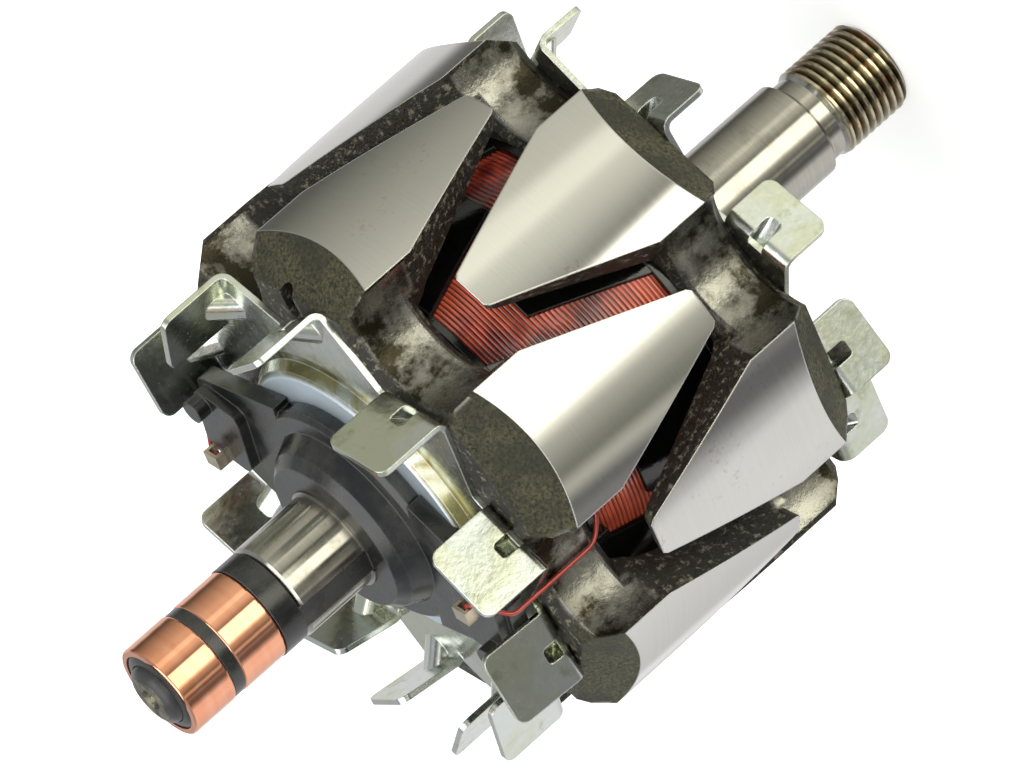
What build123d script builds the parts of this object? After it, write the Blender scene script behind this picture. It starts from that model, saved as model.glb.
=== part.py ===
"""Claw-pole alternator rotor, standing on its threaded end with the slip rings up.

The origin is the centre of the threaded end face, +Z runs along the shaft towards the slip rings.
All lengths are in millimetres and all angles in degrees, counter-clockwise from +X seen from above.
"""
from build123d import *
from math import cos, radians, sin, sqrt
import os

os.makedirs("parts", exist_ok=True)

# Driving sizes of the shaft
journal_radius = 8.5
thread_radius = 8.0
thread_length = 12.9
thread_relief_length = 3.3
thread_relief_radius = 7.1
thread_end_chamfer = 1.0
journal_chamfer = 0.9
pole_seat_radius = 9.0
shoulder_stand_off = 0.4
seat_radius = 5.4
seat_chamfer = 0.5
end_protrusion = 1.7
centre_hole_radius = 2.0
centre_hole_depth = 4.0
centre_hole_taper = 15.0
conductor_slot_width = 4.5
fit_gap = 0.03

# Driving sizes of the magnetic core
pole_middle_z = 77.3
claw_count = 6
claw_tip_radius = 47.0
pole_inner_face = 16.0
pole_outer_face = 28.3
turned_face_radius = 41.2
turned_shoulder_run = 1.8
turned_shoulder_drop = 2.3
lens_slope = 1.22
claw_reach_past_middle = 12.9
claw_tip_half_width = 3.6
claw_root_half_width = 13.35
claw_side_start = 14.0
claw_tip_thickness = 2.8
claw_tip_slope = 0.9
claw_root_inner_radius = 36.6
claw_root_inner_depth = 13.0
claw_flank_draft = 10.0
claw_corner_cut = 0.7
valley_floor_radius = 35.3
valley_scoop_radius = 11.3
valley_lip = 1.8
claw_inner_radius = 25.0
claw_root_step = 2.5
scoop_runout = 6.0
balance_slot_radius = 39.4
balance_slot_angle = 183.5
balance_slot_length = 6.0
balance_slot_width = 3.0
balance_slot_depth = 2.6
core_radius = 20.5

# Driving sizes of the bobbin and its winding
bobbin_tube_wall = 1.2
bobbin_flange_thickness = 1.2
bobbin_flange_radius = 33.9
petal_thickness = 0.7
petal_step = 0.15
petal_reach = 20.5
petal_straight = 1.5
lead_angle = 88.0
petal_tip_half_angle = 7.8
petal_root_half_angle = 20.4
winding_radius = 33.0
guide_tab_height = 0.9
guide_tab_width = 1.6
guide_tab_drop = 2.4
guide_tab_turn = 5.0

# Driving sizes of the two stamped fans
sheet = 1.0
fan_disc_radius = 29.0
fan_plateau_radius = 25.0
fan_plateau_rise = 2.1
fan_plateau_draft = 1.6
fan_hub_radius = 11.0
fan_corner_radius = 2.5
bend_radius = 1.2
blade_corner_radius = 1.8
blade_sweep = 55.0
gusset_width = 2.8
gusset_height = 4.4
gusset_corner_radius = 0.7
rear_blade_width = 13.0
rear_blade_height = 13.1
rear_blade_circle = 38.7
rear_blade_leans = [0.0, 0.0, 0.0, 0.0, 0.0, 6.0, 0.0, 0.0, 7.0, 12.0, 0.0]
rear_blade_angles = [244.5, 213.5, 178.5, 142.5, 105.5, 70.5, 44.5, 19.5, -6.5, -29.5, -62.5]
front_blade_width = 12.5
front_blade_height = 9.6
front_blade_circle = 39.4
front_blade_angles = [229.0, 195.0, 158.0, 120.5, 84.5, 55.5, 25.5, -5.5, -37.5, -68.5, -97.5]

# Driving sizes of the slip-ring end
terminal_angle = 87.0
ear_angle = 77.5
ring_radius = 8.15
ring_wall = 1.15
ring_chamfer = 0.25
collar_start_z = 130.4
collar_radius = 8.3
separator_radius = 8.0
inner_ring_start_z = 134.6
inner_ring_length = 8.4
separator_length = 2.1
outer_ring_length = 8.3
end_recess = 0.9
flange_top_z = 116.5
flange_hub_radius = 14.8
flange_hub_chamfer = 1.6
flange_plate_radius = 20.0
flange_plate_thickness = 3.0
flange_plate_chamfer = 0.8
ear_reach = 34.6
ear_root_half_width = 15.0
ear_end_half_width = 7.0
ear_block_start = 23.5
ear_block_height = 1.9
ear_corner_radius = 2.0
ear_block_margin = 1.0
lug_radius = 2.0
lug_height = 2.4
lug_offset = 4.7
bar_width = 4.3
bar_sink = 0.1
strip_width = 1.6
strip_thickness = 0.6
strip_inner_radius = 5.9
strip_clearance = 0.08
inner_foot_start_z = 136.0
outer_foot_start_z = 147.0
foot_length = 4.0
hook_radius = 28.0
hook_width = 2.6
hook_height = 3.0
hook_mouth = 1.9
hook_drop = 2.2

# Driving sizes of the enamelled wire
lead_radius = 0.45
lead_start_turn = 8.0
lead_valley_turn = 1.5
lead_hook_turn = 5.0
lead_clearance = 0.5
lead_bend_radius = 0.7

# Heights that follow from the driving sizes
rear_face_z = pole_middle_z + pole_outer_face
front_face_z = pole_middle_z - pole_outer_face
rear_sheet_z = rear_face_z + sheet
plateau_top_z = rear_sheet_z + fan_plateau_rise
turned_shoulder_radius = turned_face_radius + turned_shoulder_run
plate_bottom_z = plateau_top_z + fit_gap
plate_top_z = plate_bottom_z + flange_plate_thickness
ear_top_z = plate_top_z + ear_block_height
outer_ring_start_z = inner_ring_start_z + inner_ring_length + separator_length
rings_end_z = outer_ring_start_z + outer_ring_length
shaft_length = rings_end_z + end_protrusion
drive_journal_start_z = thread_length + thread_relief_length
ring_bore_radius = ring_radius - ring_wall
sleeve_bore_radius = seat_radius + fit_gap
strip_outer_radius = strip_inner_radius + strip_thickness
strip_leg_z = plate_bottom_z + flange_plate_thickness / 2
slot_floor_radius = seat_radius
past = 5.0


def at_angle(radius, angle, height):
    """Give the point at this radius, angle and height about the shaft's axis."""
    return (radius * cos(radians(angle)), radius * sin(radians(angle)), height)


def radial_plane(angle, height=0.0):
    """Give the plane through the axis whose x runs outwards at this angle and whose y runs up."""
    outward = at_angle(1.0, angle, 0.0)
    sideways = at_angle(1.0, angle - 90.0, 0.0)
    return Plane(origin=(0, 0, height), x_dir=outward, z_dir=sideways)


def radial_block(angle, inner, outer, low, high, width):
    """Build a block that runs outwards along one radius, between two radii and two heights."""
    with BuildPart() as block:
        with BuildSketch(radial_plane(angle)):
            with Locations(((inner + outer) / 2, (low + high) / 2)):
                Rectangle(outer - inner, high - low)
        extrude(amount=width / 2, both=True)
    return block.part


# Shaft: one turned piece with a thread, two bearing journals and two milled conductor slots
with BuildPart() as shaft:
    with BuildSketch(Plane.XZ):
        with BuildLine():
            Polyline(
                (0, 0),
                (thread_radius - thread_end_chamfer, 0),
                (thread_radius, thread_end_chamfer),
                (thread_radius, thread_length),
                (thread_relief_radius, thread_length + thread_radius - thread_relief_radius),
                (thread_relief_radius, drive_journal_start_z),
                (journal_radius - journal_chamfer, drive_journal_start_z),
                (journal_radius, drive_journal_start_z + journal_chamfer),
                (journal_radius, front_face_z - sheet - shoulder_stand_off),
                (pole_seat_radius, front_face_z - sheet - shoulder_stand_off),
                (pole_seat_radius, flange_top_z + shoulder_stand_off),
                (journal_radius, flange_top_z + shoulder_stand_off),
                (journal_radius, collar_start_z - journal_chamfer),
                (journal_radius - journal_chamfer, collar_start_z),
                (seat_radius, collar_start_z),
                (seat_radius, shaft_length - seat_chamfer),
                (seat_radius - seat_chamfer, shaft_length),
                (0, shaft_length),
                close=True,
            )
        make_face()
    revolve(axis=Axis.Z)
    for angle in (terminal_angle, terminal_angle + 180.0):
        slot = radial_block(
            angle,
            slot_floor_radius,
            pole_seat_radius + past,
            plate_bottom_z,
            collar_start_z,
            conductor_slot_width,
        )
        add(slot, mode=Mode.SUBTRACT)
    with BuildSketch(Plane.XY):
        Circle(centre_hole_radius)
    extrude(amount=centre_hole_depth, taper=centre_hole_taper, mode=Mode.SUBTRACT)
    with BuildSketch(Plane.XY.offset(shaft_length)):
        Circle(centre_hole_radius)
    extrude(amount=-centre_hole_depth, taper=centre_hole_taper, mode=Mode.SUBTRACT)


def turned_pole_blank(toward):
    """Build the turned disc of one pole with its six scooped valleys still to be cut."""
    side = Plane(origin=(0, 0, pole_middle_z), x_dir=(1, 0, 0), z_dir=(0, -toward, 0))
    with BuildPart() as blank:
        with BuildSketch(side):
            with BuildLine():
                Polyline(
                    (0, pole_inner_face),
                    (turned_shoulder_radius, pole_inner_face),
                    (turned_shoulder_radius, pole_outer_face - turned_shoulder_drop),
                    (turned_face_radius, pole_outer_face),
                    (0, pole_outer_face),
                    close=True,
                )
            make_face()
        revolve(axis=Axis.Z)
    return blank.part


def valley_cutter(toward, inner_lip):
    """Build the cutter of one valley between two claws, with bevelled lips where they are asked for."""
    centre_radius = valley_floor_radius + valley_scoop_radius
    wide = valley_scoop_radius + valley_lip
    side = Plane(origin=(centre_radius, 0, pole_middle_z), x_dir=(1, 0, 0), z_dir=(0, -toward, 0))
    narrow = valley_scoop_radius
    outer_profile = [
        (narrow, pole_outer_face - valley_lip),
        (wide, pole_outer_face),
        (wide, pole_outer_face + past),
        (0, pole_outer_face + past),
    ]
    lipped_profile = [
        (0, pole_inner_face - past),
        (wide, pole_inner_face - past),
        (wide, pole_inner_face),
        (narrow, pole_inner_face + inner_lip),
    ]
    plain_profile = [
        (0, pole_inner_face - scoop_runout),
        (narrow, pole_inner_face - scoop_runout),
    ]
    inner_profile = lipped_profile if inner_lip > 0 else plain_profile
    with BuildPart() as cutter:
        with BuildSketch(side):
            with BuildLine():
                Polyline(*inner_profile, *outer_profile, close=True)
            make_face()
        revolve(axis=Axis((centre_radius, 0, 0), (0, 0, 1)))
    return cutter.part


def claw_wedge(toward):
    """Build one claw: its side profile, cut to its outline as seen along the radius and turned to size."""
    side = Plane(origin=(0, 0, pole_middle_z), x_dir=(1, 0, 0), z_dir=(0, -toward, 0))
    outline = Plane(origin=(claw_tip_radius, 0, pole_middle_z), x_dir=(0, -toward, 0), z_dir=(-1, 0, 0))
    shoulder_z = pole_outer_face - turned_shoulder_drop
    tip_slope = claw_tip_slope / claw_tip_thickness
    overshoot = claw_tip_radius + past
    tip_z = -claw_reach_past_middle
    cut_half_width = claw_tip_half_width - claw_corner_cut
    with BuildPart() as claw:
        with BuildSketch(side):
            with BuildLine():
                Polyline(
                    (claw_inner_radius, pole_inner_face),
                    (claw_inner_radius, pole_outer_face),
                    (turned_face_radius, pole_outer_face),
                    (turned_shoulder_radius, shoulder_z),
                    (overshoot, shoulder_z - lens_slope * (overshoot - turned_shoulder_radius)),
                    (overshoot, tip_z - tip_slope * past),
                    (claw_tip_radius - claw_tip_thickness, tip_z + claw_tip_slope),
                    (claw_root_inner_radius, claw_root_inner_depth),
                    (claw_root_inner_radius - claw_root_step, pole_inner_face),
                    close=True,
                )
            make_face()
        extrude(amount=claw_tip_radius / 2, both=True)
        with BuildSketch(outline):
            with BuildLine():
                Polyline(
                    (-cut_half_width, tip_z - past),
                    (-cut_half_width, tip_z),
                    (-claw_tip_half_width, tip_z + claw_corner_cut),
                    (-claw_root_half_width, claw_side_start),
                    (-claw_root_half_width, pole_outer_face + past),
                    (claw_root_half_width, pole_outer_face + past),
                    (claw_root_half_width, claw_side_start),
                    (claw_tip_half_width, tip_z + claw_corner_cut),
                    (cut_half_width, tip_z),
                    (cut_half_width, tip_z - past),
                    close=True,
                )
            make_face()
        extrude(amount=claw_tip_radius - claw_inner_radius, taper=claw_flank_draft, mode=Mode.INTERSECT)
        with BuildSketch(Plane.XY.offset(pole_middle_z - claw_tip_radius)):
            Circle(claw_tip_radius)
        extrude(amount=2 * claw_tip_radius, mode=Mode.INTERSECT)
        for valley_angle in (-180.0 / claw_count, 180.0 / claw_count):
            add(valley_cutter(toward, 0).rotate(Axis.Z, valley_angle), mode=Mode.SUBTRACT)
    return claw.part


def claw_pole(toward, first_angle):
    """Build one forged pole: toward is 1 for the rear half and -1 for the front half."""
    blank = turned_pole_blank(toward)
    cutter = valley_cutter(toward, valley_lip)
    claw = claw_wedge(toward)
    pitch = 360.0 / claw_count
    with BuildPart() as half:
        add(blank)
        for index in range(claw_count):
            add(cutter.rotate(Axis.Z, first_angle + (index + 0.5) * pitch), mode=Mode.SUBTRACT)
        for index in range(claw_count):
            add(claw.rotate(Axis.Z, first_angle + index * pitch))
        with BuildSketch(Plane.XY.offset(pole_middle_z - claw_tip_radius)):
            Circle(pole_seat_radius + fit_gap)
        extrude(amount=2 * claw_tip_radius, mode=Mode.SUBTRACT)
    return half.part


# Rear pole half: the forged claws, with the one balancing slot milled into a claw's face
with BuildPart() as rear_pole_half:
    add(claw_pole(1, 0.0))
    with BuildSketch(Plane.XY.offset(rear_face_z)):
        with PolarLocations(balance_slot_radius, 1, start_angle=balance_slot_angle):
            SlotOverall(balance_slot_length, balance_slot_width)
    extrude(amount=-balance_slot_depth, mode=Mode.SUBTRACT)

# Front pole half: the same forging turned over, its claws between those of the rear half
with BuildPart() as front_pole_half:
    add(claw_pole(-1, 180.0 / claw_count))

# Pole core: the plain steel ring that both halves are pressed against
with BuildPart() as pole_core:
    with BuildSketch(Plane.XY.offset(pole_middle_z - pole_inner_face)):
        Circle(core_radius)
        Circle(pole_seat_radius + fit_gap, mode=Mode.SUBTRACT)
    extrude(amount=2 * pole_inner_face)

# Bobbin: a moulded spool whose flanges carry a petal under every claw and a guide tab at each lead
bobbin_bore = core_radius + fit_gap
bobbin_half_length = pole_inner_face - fit_gap
winding_half_length = bobbin_half_length - bobbin_flange_thickness - fit_gap
petal_outer_radius = bobbin_flange_radius - petal_step
petal_inner_radius = petal_outer_radius - petal_thickness


def petal(toward):
    """Build one petal of the bobbin, curved like the coil and pointed like the claw above it."""
    root_half_width = petal_inner_radius * sin(radians(petal_root_half_angle))
    tip_half_width = petal_inner_radius * sin(radians(petal_tip_half_angle))
    tip_reach = bobbin_half_length - petal_reach
    straight_reach = bobbin_half_length - petal_straight
    outline = Plane(origin=(0, 0, pole_middle_z), x_dir=(0, -toward, 0), z_dir=(-1, 0, 0))
    with BuildPart() as tongue:
        with BuildSketch(outline):
            with BuildLine():
                Polyline(
                    (-root_half_width, bobbin_half_length),
                    (-root_half_width, straight_reach),
                    (-tip_half_width, tip_reach),
                    (tip_half_width, tip_reach),
                    (root_half_width, straight_reach),
                    (root_half_width, bobbin_half_length),
                    close=True,
                )
            make_face()
        extrude(amount=-claw_tip_radius)
        with BuildSketch(Plane.XY):
            Circle(petal_outer_radius)
            Circle(petal_inner_radius, mode=Mode.SUBTRACT)
        extrude(amount=shaft_length, mode=Mode.INTERSECT)
    return tongue.part


with BuildPart() as bobbin:
    with BuildSketch(Plane.XY.offset(pole_middle_z - bobbin_half_length)):
        Circle(bobbin_bore + bobbin_tube_wall)
        Circle(bobbin_bore, mode=Mode.SUBTRACT)
    extrude(amount=2 * bobbin_half_length)
    for toward in (1, -1):
        with BuildSketch(Plane.XY.offset(pole_middle_z + toward * bobbin_half_length)):
            Circle(bobbin_flange_radius)
            Circle(bobbin_bore, mode=Mode.SUBTRACT)
        extrude(amount=-toward * bobbin_flange_thickness)
        first_petal = 0.0 if toward > 0 else 180.0 / claw_count
        for index in range(claw_count):
            add(petal(toward).rotate(Axis.Z, first_petal + index * 360.0 / claw_count))
    for angle in (lead_angle, lead_angle + 180.0):
        tab = radial_block(
            angle - guide_tab_turn,
            petal_inner_radius,
            bobbin_flange_radius + guide_tab_height,
            pole_middle_z + bobbin_half_length - guide_tab_drop,
            pole_middle_z + bobbin_half_length,
            guide_tab_width,
        )
        add(tab)

# Field winding: the enamelled wire wound as one solid ring
with BuildPart() as field_winding:
    with BuildSketch(Plane.XY.offset(pole_middle_z - winding_half_length)):
        Circle(winding_radius)
        Circle(bobbin_bore + bobbin_tube_wall + fit_gap, mode=Mode.SUBTRACT)
    extrude(amount=2 * winding_half_length)


def fan_blade(width, height, circle, sweep, lean):
    """Build one bent-up tongue with its pressed gusset, its strip running inwards along -X.

    The blade is bent past the upright by the angle of its lean.
    """
    blade_x = circle * sin(radians(sweep))
    strip_y = -circle * cos(radians(sweep))
    bend_x = blade_x - sheet / 2 - bend_radius
    bend_z = sheet + bend_radius
    straight = height - bend_z
    outer_bend = bend_radius + sheet

    def on_blade(radius, along):
        """Give the point this far up the blade, on the face at this radius from the bend's centre."""
        x = bend_x + radius * cos(radians(lean)) - along * sin(radians(lean))
        return (x, bend_z + radius * sin(radians(lean)) + along * cos(radians(lean)))

    across = Plane(origin=(0, strip_y, 0), x_dir=(1, 0, 0), z_dir=(0, -1, 0))
    corner = Plane(origin=(blade_x + sheet / 2, strip_y, 0), x_dir=(0, 1, 0), z_dir=(1, 0, 1))
    with BuildPart() as ridge:
        with BuildSketch(corner) as ridge_profile:
            with Locations((0, gusset_height / 2)):
                Rectangle(gusset_width + 2 * sheet, gusset_height)
            fillet(ridge_profile.vertices().sort_by(Axis.Y)[-2:], radius=gusset_corner_radius + sheet)
        extrude(amount=gusset_height + sheet, both=True)
        with BuildSketch(across):
            with BuildLine():
                Polyline(
                    (0, sheet / 2),
                    (bend_x, sheet / 2),
                    on_blade(bend_radius + sheet / 2, 0),
                    on_blade(bend_radius + sheet / 2, straight),
                    (0, height),
                    close=True,
                )
            make_face()
        extrude(amount=width / 2, both=True, mode=Mode.INTERSECT)
    with BuildPart() as blade:
        with BuildSketch(across):
            with BuildLine():
                Line((0, 0), (0, sheet))
                Line((0, sheet), (bend_x, sheet))
                CenterArc((bend_x, bend_z), bend_radius, 270, 90 + lean)
                Line(on_blade(bend_radius, 0), on_blade(bend_radius, straight))
                Line(on_blade(bend_radius, straight), on_blade(outer_bend, straight))
                Line(on_blade(outer_bend, straight), on_blade(outer_bend, 0))
                CenterArc((bend_x, bend_z), outer_bend, 270, 90 + lean)
                Line((bend_x, 0), (0, 0))
            make_face()
        extrude(amount=width / 2, both=True)
        thickness_edges = blade.edges().filter_by(lambda edge: abs(edge.length - sheet) < fit_gap)
        fillet(thickness_edges.sort_by(Axis.Z)[-2:], radius=blade_corner_radius)
        add(ridge.part)
        with BuildSketch(corner) as pocket_profile:
            with Locations((0, gusset_height / 2 - sheet)):
                Rectangle(gusset_width, gusset_height)
            fillet(pocket_profile.vertices().sort_by(Axis.Y)[-2:], radius=gusset_corner_radius)
        extrude(amount=gusset_height, both=True, mode=Mode.SUBTRACT)
    return blade.part


def fan_sheet(angles, leans, width, height, circle, sweep):
    """Build a flat disc with one bent-up blade per angle, its pole side on the XY plane."""
    strip_y = -circle * cos(radians(sweep))
    strip_x = circle * sin(radians(sweep)) - sheet / 2 - bend_radius
    turns = [angle + 90.0 - sweep for angle in angles]
    with BuildPart() as fan:
        with BuildSketch(Plane.XY):
            Circle(fan_disc_radius)
            for turn in turns:
                with Locations(Location((0, 0, 0), (0, 0, turn)) * Location((strip_x / 2, strip_y, 0))):
                    Rectangle(strip_x, width)
            offset(amount=fan_corner_radius, kind=Kind.INTERSECTION)
            offset(amount=-fan_corner_radius, kind=Kind.ARC)
        extrude(amount=sheet)
        blades = {lean: fan_blade(width, height, circle, sweep, lean) for lean in set(leans)}
        for turn, lean in zip(turns, leans):
            add(blades[lean].rotate(Axis.Z, turn))
        with BuildSketch(Plane.XY):
            Circle(fan_hub_radius)
        extrude(amount=sheet, mode=Mode.SUBTRACT)
    return fan.part


# Rear fan: one sheet with bent blades and a pressed plateau that the flange rests on
with BuildPart() as rear_fan:
    add(
        fan_sheet(
            rear_blade_angles,
            rear_blade_leans,
            rear_blade_width,
            rear_blade_height,
            rear_blade_circle,
            blade_sweep,
        )
    )
    with BuildSketch(Plane.XY):
        Circle(fan_plateau_radius)
    extrude(amount=sheet, mode=Mode.SUBTRACT)
    with BuildSketch(Plane.XZ):
        with BuildLine():
            Polyline(
                (fan_hub_radius, fan_plateau_rise),
                (fan_hub_radius, fan_plateau_rise + sheet),
                (fan_plateau_radius - sheet / 2, fan_plateau_rise + sheet),
                (fan_plateau_radius + sheet / 2, fan_plateau_rise + sheet / 2),
                (fan_plateau_radius + fan_plateau_draft, sheet),
                (fan_plateau_radius + fan_plateau_draft, 0),
                (fan_plateau_radius, 0),
                (fan_plateau_radius - sheet / 2, fan_plateau_rise),
                close=True,
            )
        make_face()
    revolve(axis=Axis.Z)
rear_fan_part = rear_fan.part.moved(Location((0, 0, rear_face_z)))

# Front fan: the same kind of sheet laid against the other pole, its blades towards the thread
with BuildPart() as front_fan:
    add(
        fan_sheet(
            front_blade_angles,
            [0.0] * len(front_blade_angles),
            front_blade_width,
            front_blade_height,
            front_blade_circle,
            blade_sweep,
        )
    )
front_fan_part = front_fan.part.mirror(Plane.XY).moved(Location((0, 0, front_face_z)))

# Outer slip ring: a plain copper ring with broken edges
with BuildPart() as outer_slip_ring:
    with BuildSketch(Plane.XY.offset(outer_ring_start_z)):
        Circle(ring_radius)
        Circle(ring_bore_radius, mode=Mode.SUBTRACT)
    extrude(amount=outer_ring_length)
    chamfer(outer_slip_ring.edges().filter_by(GeomType.CIRCLE).sort_by(SortBy.RADIUS)[-2:], length=ring_chamfer)

# Inner slip ring: the same ring one separator lower
with BuildPart() as inner_slip_ring:
    with BuildSketch(Plane.XY.offset(inner_ring_start_z)):
        Circle(ring_radius)
        Circle(ring_bore_radius, mode=Mode.SUBTRACT)
    extrude(amount=inner_ring_length)
    chamfer(inner_slip_ring.edges().filter_by(GeomType.CIRCLE).sort_by(SortBy.RADIUS)[-2:], length=ring_chamfer)


def conductor(angle, foot_start_z):
    """Build one brass strip: a foot under its ring, the run down the shaft's slot, a leg and a hook."""
    riser_outer = hook_radius + strip_thickness
    hook_outer = riser_outer + hook_mouth
    hook_top_z = ear_top_z + hook_height
    foot_end_z = foot_start_z + foot_length
    leg_low_z = strip_leg_z - strip_thickness / 2
    leg_high_z = strip_leg_z + strip_thickness / 2
    with BuildPart() as strip:
        with BuildSketch(radial_plane(angle)):
            with BuildLine():
                Polyline(
                    (strip_inner_radius, leg_low_z),
                    (riser_outer, leg_low_z),
                    (riser_outer, hook_top_z - strip_thickness),
                    (hook_outer, hook_top_z - strip_thickness),
                    (hook_outer, hook_top_z - hook_drop),
                    (hook_outer + strip_thickness, hook_top_z - hook_drop),
                    (hook_outer + strip_thickness, hook_top_z),
                    (hook_radius, hook_top_z),
                    (hook_radius, leg_high_z),
                    (strip_outer_radius, leg_high_z),
                    (strip_outer_radius, foot_start_z),
                    (ring_bore_radius - fit_gap, foot_start_z),
                    (ring_bore_radius - fit_gap, foot_end_z),
                    (strip_inner_radius, foot_end_z),
                    close=True,
                )
            make_face()
        extrude(amount=strip_width / 2, both=True)
        with BuildSketch(radial_plane(angle)):
            with BuildLine():
                Polyline(
                    (hook_radius, ear_top_z),
                    (hook_radius, hook_top_z),
                    (hook_outer + strip_thickness, hook_top_z),
                    (hook_outer + strip_thickness, hook_top_z - hook_drop),
                    (hook_outer, hook_top_z - hook_drop),
                    (hook_outer, hook_top_z - strip_thickness),
                    (riser_outer, hook_top_z - strip_thickness),
                    (riser_outer, ear_top_z),
                    close=True,
                )
            make_face()
        extrude(amount=hook_width / 2, both=True)
    return strip.part


def conductor_channel(angle, foot_start_z):
    """Build the space of one conductor inside the moulding, wider than the strip on every side."""
    width = strip_width + 2 * strip_clearance
    inner = strip_inner_radius - strip_clearance
    foot_end_z = foot_start_z + foot_length + strip_clearance
    leg_low_z = strip_leg_z - strip_thickness / 2 - strip_clearance
    leg_high_z = strip_leg_z + strip_thickness / 2 + strip_clearance
    riser_inner = hook_radius - strip_clearance
    riser_outer = hook_radius + strip_thickness + strip_clearance
    with BuildPart() as channel:
        add(radial_block(angle, inner, riser_outer, leg_low_z, leg_high_z, width))
        add(radial_block(angle, inner, strip_outer_radius + strip_clearance, leg_low_z, foot_end_z, width))
        add(radial_block(angle, inner, ring_radius, foot_start_z - strip_clearance, foot_end_z, width))
        add(radial_block(angle, riser_inner, riser_outer, leg_low_z, ear_top_z + past, width))
    return channel.part


# Conductors: one brass strip for each ring, on opposite sides of the shaft
with BuildPart() as inner_ring_conductor:
    add(conductor(terminal_angle, inner_foot_start_z))
with BuildPart() as outer_ring_conductor:
    add(conductor(terminal_angle + 180.0, outer_foot_start_z))

# Slip-ring moulding: sleeve, collar, separator, the two bars in the shaft's slots and the eared flange
with BuildPart() as slip_ring_moulding:
    sleeve_radius = ring_bore_radius - fit_gap
    with BuildSketch(Plane.XZ):
        with BuildLine():
            Polyline(
                (sleeve_bore_radius, collar_start_z),
                (collar_radius, collar_start_z),
                (collar_radius, inner_ring_start_z),
                (sleeve_radius, inner_ring_start_z),
                (sleeve_radius, inner_ring_start_z + inner_ring_length),
                (separator_radius, inner_ring_start_z + inner_ring_length),
                (separator_radius, outer_ring_start_z),
                (sleeve_radius, outer_ring_start_z),
                (sleeve_radius, rings_end_z - end_recess),
                (sleeve_bore_radius, rings_end_z - end_recess),
                close=True,
            )
        make_face()
    revolve(axis=Axis.Z)
    with BuildSketch(Plane.XZ):
        with BuildLine():
            Polyline(
                (pole_seat_radius + fit_gap, plate_bottom_z),
                (flange_plate_radius, plate_bottom_z),
                (flange_plate_radius, plate_top_z - flange_plate_chamfer),
                (flange_plate_radius - flange_plate_chamfer, plate_top_z),
                (flange_hub_radius + flange_hub_chamfer, plate_top_z),
                (flange_hub_radius, flange_top_z - flange_hub_chamfer),
                (flange_hub_radius - flange_hub_chamfer, flange_top_z),
                (pole_seat_radius + fit_gap, flange_top_z),
                close=True,
            )
        make_face()
    revolve(axis=Axis.Z)
    for angle in (ear_angle, ear_angle + 180.0):
        ear_x = at_angle(1.0, angle, 0.0)
        with BuildSketch(Plane(origin=(0, 0, plate_bottom_z), x_dir=ear_x, z_dir=(0, 0, 1))) as ear_outline:
            with BuildLine():
                Polyline(
                    (flange_hub_radius, -ear_root_half_width),
                    (ear_reach, -ear_end_half_width),
                    (ear_reach, ear_end_half_width),
                    (flange_hub_radius, ear_root_half_width),
                    close=True,
                )
            make_face()
            fillet(ear_outline.vertices().sort_by(Axis.X)[-2:], ear_corner_radius)
        extrude(amount=flange_plate_thickness)
        with BuildSketch(Plane(origin=(0, 0, plate_top_z), x_dir=ear_x, z_dir=(0, 0, 1))):
            with Locations(((ear_block_start + ear_reach - ear_block_margin) / 2, 0)):
                RectangleRounded(
                    ear_reach - ear_block_start - ear_block_margin,
                    2 * ear_end_half_width,
                    ear_corner_radius,
                )
        extrude(amount=ear_block_height)
        with BuildSketch(Plane(origin=(0, 0, ear_top_z), x_dir=ear_x, z_dir=(0, 0, 1))):
            with Locations((ear_reach - ear_block_margin - lug_radius, -lug_offset)):
                Circle(lug_radius)
        extrude(amount=lug_height)
    for angle in (terminal_angle, terminal_angle + 180.0):
        bar_radius = sqrt((journal_radius - bar_sink) ** 2 - (bar_width / 2) ** 2)
        root_radius = flange_hub_radius - flange_hub_chamfer
        add(radial_block(angle, sleeve_bore_radius, bar_radius, plate_bottom_z, collar_start_z, bar_width))
        add(radial_block(angle, sleeve_bore_radius, root_radius, plate_bottom_z, flange_top_z, bar_width))
    with BuildSketch(Plane.XY.offset(plate_bottom_z)):
        Circle(sleeve_bore_radius)
    extrude(amount=shaft_length, mode=Mode.SUBTRACT)
    add(conductor_channel(terminal_angle, inner_foot_start_z), mode=Mode.SUBTRACT)
    add(conductor_channel(terminal_angle + 180.0, outer_foot_start_z), mode=Mode.SUBTRACT)


def winding_lead(angle):
    """Build one lead: it leaves the coil, climbs a valley of the pole and ends inside its hook."""
    coil_end_z = pole_middle_z + winding_half_length - lead_radius
    flange_clear_radius = bobbin_flange_radius + lead_radius + lead_clearance
    climb_radius = valley_floor_radius + lead_radius + lead_clearance
    hook_middle = hook_radius + strip_thickness + hook_mouth / 2
    hook_wire_z = ear_top_z + hook_height - strip_thickness - lead_radius - lead_clearance / 2
    hook_angle = angle + terminal_angle - lead_angle
    with BuildPart() as lead:
        with BuildLine():
            route = FilletPolyline(
                at_angle(winding_radius + lead_radius + fit_gap, angle + lead_start_turn, coil_end_z),
                at_angle(flange_clear_radius, angle + lead_start_turn / 2, coil_end_z),
                at_angle((flange_clear_radius + climb_radius) / 2, angle, pole_middle_z + pole_inner_face),
                at_angle(climb_radius, angle - lead_valley_turn, pole_middle_z + pole_inner_face + valley_lip),
                at_angle(climb_radius, angle - lead_valley_turn, plate_top_z),
                at_angle((ear_reach + hook_middle) / 2, hook_angle + lead_hook_turn, hook_wire_z),
                at_angle(hook_middle, hook_angle + lead_hook_turn / 2, hook_wire_z),
                at_angle(hook_middle, hook_angle - lead_hook_turn / 2, hook_wire_z),
                radius=lead_bend_radius,
            )
        with BuildSketch(Plane(origin=route @ 0, z_dir=route % 0)):
            Circle(lead_radius)
        sweep()
    return lead.part


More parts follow.
